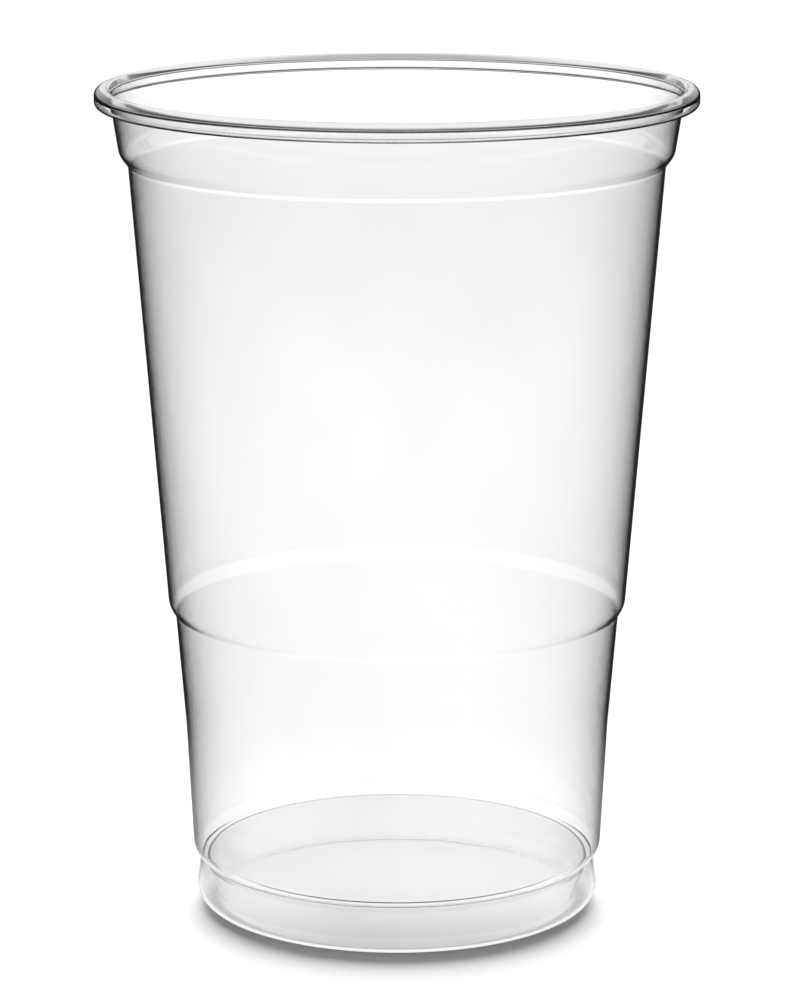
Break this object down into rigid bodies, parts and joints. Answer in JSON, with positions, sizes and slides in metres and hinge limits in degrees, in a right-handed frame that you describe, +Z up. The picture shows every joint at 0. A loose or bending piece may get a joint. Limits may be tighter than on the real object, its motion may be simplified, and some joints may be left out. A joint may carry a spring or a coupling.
{
  "type": "disposable drinking cup",
  "caption": "Clear disposable pint tumbler: thin tapered wall with rolled rim, stacking shoulder, grip step, base groove and rounded foot.",
  "frame": {"origin": "centre of the standing ring, in the plane that the cup rests on", "axes": "+Z up along the cup's axis, from the foot to the rim; X and Y are any two directions across it"},
  "size_m": [0.095, 0.095, 0.1325],
  "materials": {
    "clear_plastic": "clear, smooth and glossy, as thermoformed"
  },
  "bodies": {
    "root": {"cup": "clear_plastic"}
  },
  "joints": []
}
